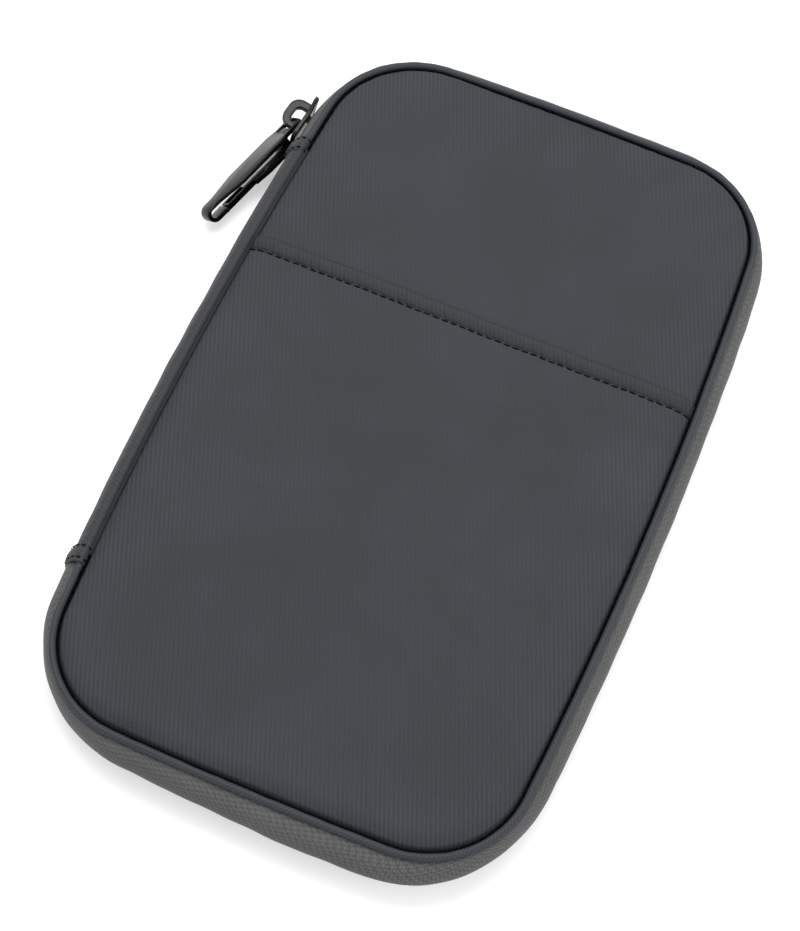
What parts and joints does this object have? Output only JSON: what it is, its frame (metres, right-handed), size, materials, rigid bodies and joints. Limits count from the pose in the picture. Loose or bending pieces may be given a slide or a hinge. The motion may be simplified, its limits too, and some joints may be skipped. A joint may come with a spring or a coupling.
{
  "type": "passport holder wallet",
  "caption": "Flat zip-around passport wallet with two padded covers hinged on a fabric spine, a front slip pocket and a snap-hook zip pull.",
  "frame": {"origin": "centre of the flat face of the back panel, on which the closed wallet lies", "axes": "+Z from the back panel to the front panel, +Y along the long side towards the end with the zip slider, +X away from the spine"},
  "size_m": [0.1503, 0.2228, 0.0176],
  "materials": {
    "shell_fabric": "charcoal coated twill",
    "piping_fabric": "blue-grey coated fabric over a cord",
    "tape_fabric": "woven zip tape and twill wall",
    "zip_plastic": "dark nylon coil",
    "lining_fabric": "plain woven nylon",
    "foam": "closed-cell foam board",
    "gunmetal": "dark gunmetal plated zinc",
    "spring_steel": "bright spring strip"
  },
  "bodies": {
    "back_half": {"back_panel": "shell_fabric", "back_foam": "foam", "back_lining": "lining_fabric", "back_piping": "piping_fabric", "back_zip_tape": "tape_fabric", "back_zip_coil": "zip_plastic", "ticket_pocket": "lining_fabric", "passport_pocket": "lining_fabric"},
    "spine": {"spine_gusset": "shell_fabric", "spine_lining": "lining_fabric", "spine_tab_top": "shell_fabric", "spine_tab_bottom": "shell_fabric"},
    "front_half": {"front_panel": "shell_fabric", "front_slip_pocket": "shell_fabric", "front_foam": "foam", "front_lining": "lining_fabric", "front_piping": "piping_fabric", "front_zip_tape": "tape_fabric", "front_zip_coil": "zip_plastic", "note_pocket": "lining_fabric", "card_pocket_upper": "lining_fabric", "card_pocket_middle": "lining_fabric", "card_pocket_lower": "lining_fabric"},
    "slider": {"slider_body": "gunmetal", "slider_crown": "gunmetal"},
    "pull": {"pull_hook": "gunmetal", "gate_pin": "gunmetal", "gate_spring": "spring_steel"},
    "gate": {"hook_gate": "gunmetal"}
  },
  "joints": [
    {"name": "spine_fold", "type": "hinge", "parent": "back_half", "child": "spine", "pos_m": [-0.0685, 0, 0.0041], "axis": [0, -1, 0], "range_deg": [0, 90]},
    {"name": "front_fold", "type": "hinge", "parent": "spine", "child": "front_half", "pos_m": [-0.0685, 0, 0.0135], "axis": [0, -1, 0], "range_deg": [0, 90]},
    {"name": "slider_travel", "type": "hinge", "parent": "spine", "child": "slider", "pos_m": [-0.03029, 0.07539, 0.0088], "axis": [0, 0, -1], "range_deg": [0, 80]},
    {"name": "pull_swing", "type": "hinge", "parent": "slider", "child": "pull", "pos_m": [-0.06958, 0.07715, 0.00951], "axis": [-0.6966, 0.297, -0.653], "range_deg": [0, 40]},
    {"name": "gate_open", "type": "hinge", "parent": "pull", "child": "gate", "pos_m": [-0.07253, 0.06014, 0.00492], "axis": [-0.6966, 0.297, -0.653], "range_deg": [0, 6], "stiffness_Nm_per_rad": 0.02, "springref_deg": -5.73, "deforming": ["gate_spring"]}
  ],
  "couplings": [
    {"joint": "front_fold", "follows": "spine_fold", "ratio": 1}
  ]
}
